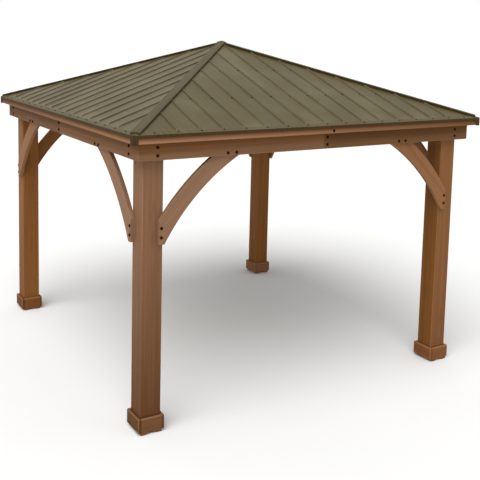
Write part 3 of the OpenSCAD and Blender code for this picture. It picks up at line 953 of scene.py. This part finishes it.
# Painted sheet. Scales are along the eave, down the slope and from side to side.
PANELS_APART = 31
RUNOFF_SCALE = (26, 1.3, 1)
RUNOFF_DUST = 0.30
RUNOFF_LIGHT = 0.10
DUST_SCALE = (2.2, 2.2, 7)
DUST_FLOOR = 0.42
DUST_SHARE = 0.9
DUST_SPAN = (-0.1, 0.5)
LEFT_SLOPE_DUST_AND_SHEEN = 0.10
LEFT_SLOPE_REACH = 0.5
SLACK_SCALE = (5, 1.8, 3)
PEEL_SCALE = (420, 420, 1)
FLANK_RISE = (0.02, 0.3)
FLANK_CREST = (0.8, 0.98)
RIB_HALVES = (0.49, 0.51)
# Painted shade on one flank of each rib, and painted light on the other
FLANK_SHADE_TINT = "2c281e"
FLANK_SHADE_SHARE = 0.9
FLANK_SHADE_LEFT_CUT = 0.5
FLANK_SHADE_DARK = 0.10
FLANK_LIGHT_SHARE = 0.5
LINE_SPAN = (0.70, 1.0)
LINE_MEAN = 0.2
LINE_LIGHT = 0.06
LINE_PATCH_SCALE = (3.1, 1.9, 5)
LINE_PATCH_SPAN = (0.48, 0.60)
LINE_PATCH_LIGHT = 0.26
PAINT_LIGHT = 0.95
PANEL_LIGHT = 0.08
PAINT_ROUGHNESS = {"middle": 0.46, "dust": 0.20, "runoff": 0.10}
PAINT_RELIEF = {"peel": 0.012, "lines": 0.05, "depth": 0.0035}


def painted_sheet(name, colour, dusty, folded, gloss):
    """Satin paint on sheet metal: each panel between two ribs has its own faint tone, with streaks that run
    down the slope, dust, slack places and a fine orange peel. The left slope is paler, with more of the
    dusty
    colour: partly dust, partly painted sheen from the light on that side. Rolled lines run down the panels,
    with painted glints in patches. One flank of each rib is darkened with painted shade for the shadow
    beside it, less on the left slope, and the other is lifted towards the dusty colour as painted light. An
    edge that is turned down is darker: darker paint on the trim and corner pieces, painted shadow on the
    hip caps."""
    finish = Finish(bpy.data.materials.new(name))
    sheet = finish.lay()
    u, side = sheet[0], sheet[2]
    panel = ((u / RIB_PITCH).floor() + side * PANELS_APART).floor()
    own = finish.node("ShaderNodeTexWhiteNoise", {"noise_dimensions": "1D"}, {"W": panel})
    runoff = finish.noise(sheet, RUNOFF_SCALE, FINE_DETAIL) - NOISE_MEAN
    cloud = finish.noise(sheet, DUST_SCALE, FINE_DETAIL)
    slack = finish.noise(sheet, SLACK_SCALE, SOFT_DETAIL)
    peel = finish.noise(sheet, PEEL_SCALE, SOFT_DETAIL)
    rolled = abs((u / ROLLED_PITCH).fraction() * 2 - 1)
    # The left slope is paler: partly dust, partly painted sheen
    left_slope = 1 - abs(side - SIDES["left"]).between(0, LEFT_SLOPE_REACH)
    dust = (cloud - DUST_FLOOR).most(0) * DUST_SHARE + runoff * RUNOFF_DUST + left_slope * LEFT_SLOPE_DUST_AND_SHEEN
    tint = finish.mix(dust.between(*DUST_SPAN), rgb(colour), rgb(dusty))
    tint = finish.mix(finish.value("tone"), tint, rgb(folded))
    crest = finish.value("edge")
    # Painted shade on one flank of each rib and painted light on the other
    flank = crest.between(*FLANK_RISE) * (1 - crest.between(*FLANK_CREST))
    lit_flank = (u / RIB_PITCH + 1 / 2).fraction().between(*RIB_HALVES) * flank
    shaded_flank = flank - lit_flank
    tint = finish.mix(shaded_flank * (FLANK_SHADE_SHARE - left_slope * FLANK_SHADE_LEFT_CUT), tint, rgb(FLANK_SHADE_TINT))
    tint = finish.mix(lit_flank * FLANK_LIGHT_SHARE, tint, rgb(dusty))
    # Painted glints along the rolled lines, stronger in patches
    patch = finish.noise(sheet, LINE_PATCH_SCALE, SOFT_DETAIL).between(*LINE_PATCH_SPAN)
    glint = (rolled.between(*LINE_SPAN) - LINE_MEAN) * (patch * LINE_PATCH_LIGHT + LINE_LIGHT)
    value = PAINT_LIGHT + own * PANEL_LIGHT + runoff * RUNOFF_LIGHT + glint - shaded_flank * FLANK_SHADE_DARK
    roughness = PAINT_ROUGHNESS["middle"] + (cloud - NOISE_MEAN) * PAINT_ROUGHNESS["dust"]
    roughness = roughness + runoff * PAINT_ROUGHNESS["runoff"]
    relief = slack + peel * PAINT_RELIEF["peel"] + rolled * PAINT_RELIEF["lines"]
    return finish.surface(finish.toned(tint, value), roughness, relief, PAINT_RELIEF["depth"], gloss)


STEEL_SCALE = (180, 180, 180)
STEEL_PATCH = (0.55, 0.75)
STEEL_THIN = "3a1f12"
STEEL_GLOSS = {"roughness": 0.42, "patch": 0.25, "specular": 0.02}
STEEL_RELIEF = 0.0003


def dark_steel(name, colour):
    """Blackened steel: a dull coat, thin and brighter in small patches."""
    finish = Finish(bpy.data.materials.new(name))
    patch = finish.noise(finish.place(), STEEL_SCALE, FINE_DETAIL)
    tint = finish.mix(patch.between(*STEEL_PATCH), rgb(colour), rgb(STEEL_THIN))
    roughness = STEEL_GLOSS["roughness"] + patch * STEEL_GLOSS["patch"]
    return finish.surface(tint, roughness, patch, STEEL_RELIEF, STEEL_GLOSS["specular"])


MOTTLE_SCALE = (0.4, 0.4, 0.0)
FLOOR_ROUGHNESS = 0.9
FLOOR_RELIEF = 0.0001


def pale_floor(name, colour, paler):
    """A plain matt floor with the faintest mottle."""
    finish = Finish(bpy.data.materials.new(name))
    mottle = finish.noise(finish.place(), MOTTLE_SCALE, MID_DETAIL)
    tint = finish.mix(mottle, rgb(colour), rgb(paler))
    return finish.surface(tint, FLOOR_ROUGHNESS, mottle, FLOOR_RELIEF, specular=0.0)


# Levels between which the painted shadow of the eaves darkens the beams and the fascias, and its tint
BEAM_UNSHADOWED = 0.020
FASCIA_SHADED = 0.055
beam_eave_shadow = (beam_bottom + BEAM_UNSHADOWED, frame_top, "e5ca97")
fascia_eave_shadow = (fascia_low[2], fascia_low[2] + FASCIA_SHADED, "bca286")

PLINTH_ARRIS_AND_DEPTH = {"arris_wear_and_highlight": 0.22, "depth": 0.30}
RAFTER_STAIN = {"light": "8c5c38", "dark": "5a361c"}
post_wood = stained_wood("post_cedar", light="8c6445", dark="593a23", foot_shade=1.0)
plinth_wood = stained_wood("plinth_cedar", light="7d593d", dark="4f321c", foot_shade=0.55, **PLINTH_ARRIS_AND_DEPTH)
warm_plinth_wood = stained_wood("warm_plinth_cedar", light="8a6042", dark="583620", **PLINTH_ARRIS_AND_DEPTH)
beam_wood = stained_wood("beam_cedar", light="86654b", dark="563d28", eave_shadow=beam_eave_shadow, depth=0.35)
brace_wood = stained_wood("brace_cedar", light="926948", dark="5f3e26")
fascia_wood = stained_wood("fascia_cedar", light="9b775b", dark="6c4c37", eave_shadow=fascia_eave_shadow, depth=0.35)
hip_wood = stained_wood("hip_rafter_cedar", **RAFTER_STAIN, lay=lay_along_hips)
slope_wood = stained_wood("centre_rafter_cedar", **RAFTER_STAIN, lay=lay_along_slopes)
purlin_wood = stained_wood("purlin_cedar", **RAFTER_STAIN, lay=lay_along_sides)
block_wood = stained_wood("block_cedar", **RAFTER_STAIN, lay=lay_upright)
roof_paint = painted_sheet("roof_paint", colour="4b411d", dusty="655e45", folded="221c0c", gloss=0.45)
# Caps and trim have almost no gloss, so their faces are painted paler than the roof as painted sheen; the
# hip caps' turned down edges carry painted shadow
cap_paint = painted_sheet("cap_paint", colour="554f3c", dusty="5d5846", folded="342b18", gloss=0.02)
trim_paint = painted_sheet("trim_paint", colour="5b523d", dusty="625a46", folded="41331d", gloss=0.02)
bolt_steel = dark_steel("bolt_steel", colour="280e06")
screw_paint = painted_sheet("screw_paint", colour="1e190d", dusty="282215", folded="1e190d", gloss=0.05)
floor_paint = pale_floor("pale_floor", colour="e0e0de", paler="e5e5e4")

# The gazebo

for corner in CORNERS:
    build_post(corner, post_wood)
    build_plinth(corner, plinth_wood if corner == "front_left" else warm_plinth_wood)
    build_hip_cap(corner, cap_paint)
for side in SIDES:
    build_outer_beam(side, beam_wood)
    build_inner_beam(side, beam_wood)
    build_fascia(side, fascia_wood)
    build_roof_sheet(side, roof_paint)
    build_eave_trim(side, trim_paint)
    build_bolts(side, bolt_steel)
    build_screws(side, screw_paint)
for side, ends in (("back", ("right", "left")), ("left", ("back", "front")), ("front", ("left", "right")),
                   ("right", ("front", "back"))):
    for end, hand in zip(ends, (1, -1)):
        build_brace(side, end, hand, brace_wood)
build_peak_cap(cap_paint)
build_corner_caps(trim_paint)

for node, wood in (("hip_rafters", hip_wood), ("centre_rafters", slope_wood), ("lower_purlins", purlin_wood),
                   ("upper_purlins", purlin_wood), ("king_block", block_wood)):
    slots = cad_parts[node].material_slots
    for held in slots:
        held.material = wood

# Floor, light and camera

FLOOR_HALF = 70.0
SKY_FADE = (0.06, 0.30)
floor_mesh = bpy.data.meshes.new("pale_floor")
floor_corners = FLOOR_HALF * np.array([[-1, -1, 0], [1, -1, 0], [1, 1, 0], [-1, 1, 0]])
floor_mesh.from_pydata(floor_corners, [], [(0, 1, 2, 3)])
floor_mesh.materials.append(floor_paint)
floor = bpy.data.objects.new("pale_floor", floor_mesh)
bpy.context.scene.collection.objects.link(floor)


def light_studio(sun_from, sun_strength, sun_spread, sky_high, sky_low):
    """A broad soft key light and a plain sky that is brighter near the horizon."""
    lamp = bpy.data.lights.new("key_light", "SUN")
    lamp.energy = sun_strength
    lamp.angle = math.radians(sun_spread)
    key = bpy.data.objects.new("key_light", lamp)
    bpy.context.scene.collection.objects.link(key)
    toward = np.asarray(sun_from, float) / np.linalg.norm(sun_from)
    key.rotation_euler = (math.acos(toward[2]), 0, math.atan2(toward[0], -toward[1]))
    world = bpy.data.worlds.new("studio")
    bpy.context.scene.world = world
    sky = Finish(world)
    up = sky.parts(sky.node("ShaderNodeTexCoord", output="Generated"))[2]
    strength = sky_low + up.between(*SKY_FADE) * (sky_high - sky_low)
    glow = sky.node("ShaderNodeBackground", {}, {"Color": rgb("ffffff"), "Strength": strength})
    sky.node("ShaderNodeOutputWorld", {}, {"Surface": glow})


light_studio(sun_from=(-0.46, -0.34, 0.82), sun_strength=2.8, sun_spread=55, sky_high=0.66, sky_low=1.0)

FRAME_PIXELS = 480
LENS_PIXELS = 787.0
CAMERA_PLACE = (-4.1911, -7.0605, 3.1979)
CAMERA_YAW = 29.272
CAMERA_PITCH = -6.407
CAMERA_ROLL = 1.059
CAMERA_SHIFT = (0.0825, -0.250)
SENSOR = 36.0


def place_camera():
    """A camera that looks along a heading from +Y towards +X, tilted by its pitch and rolled about it."""
    yaw, tilt, roll = (math.radians(v) for v in (CAMERA_YAW, CAMERA_PITCH, CAMERA_ROLL))
    ahead = np.array([math.sin(yaw) * math.cos(tilt), math.cos(yaw) * math.cos(tilt), math.sin(tilt)])
    right = np.array([math.cos(yaw), -math.sin(yaw), 0.0])
    up = np.cross(right, ahead)
    turned_right = math.cos(roll) * right + math.sin(roll) * up
    turned_up = math.cos(roll) * up - math.sin(roll) * right
    pose = np.eye(4)
    pose[:3, 0], pose[:3, 1], pose[:3, 2], pose[:3, 3] = turned_right, turned_up, -ahead, CAMERA_PLACE
    lens = bpy.data.cameras.new("camera")
    lens.sensor_width = SENSOR
    lens.lens = SENSOR * LENS_PIXELS / FRAME_PIXELS
    lens.shift_x, lens.shift_y = CAMERA_SHIFT
    lens.clip_end = 4 * FLOOR_HALF
    camera = bpy.data.objects.new("camera", lens)
    bpy.context.scene.collection.objects.link(camera)
    camera.matrix_world = pose.T.tolist()
    bpy.context.scene.camera = camera


place_camera()
bpy.context.scene.view_settings.view_transform = "Standard"
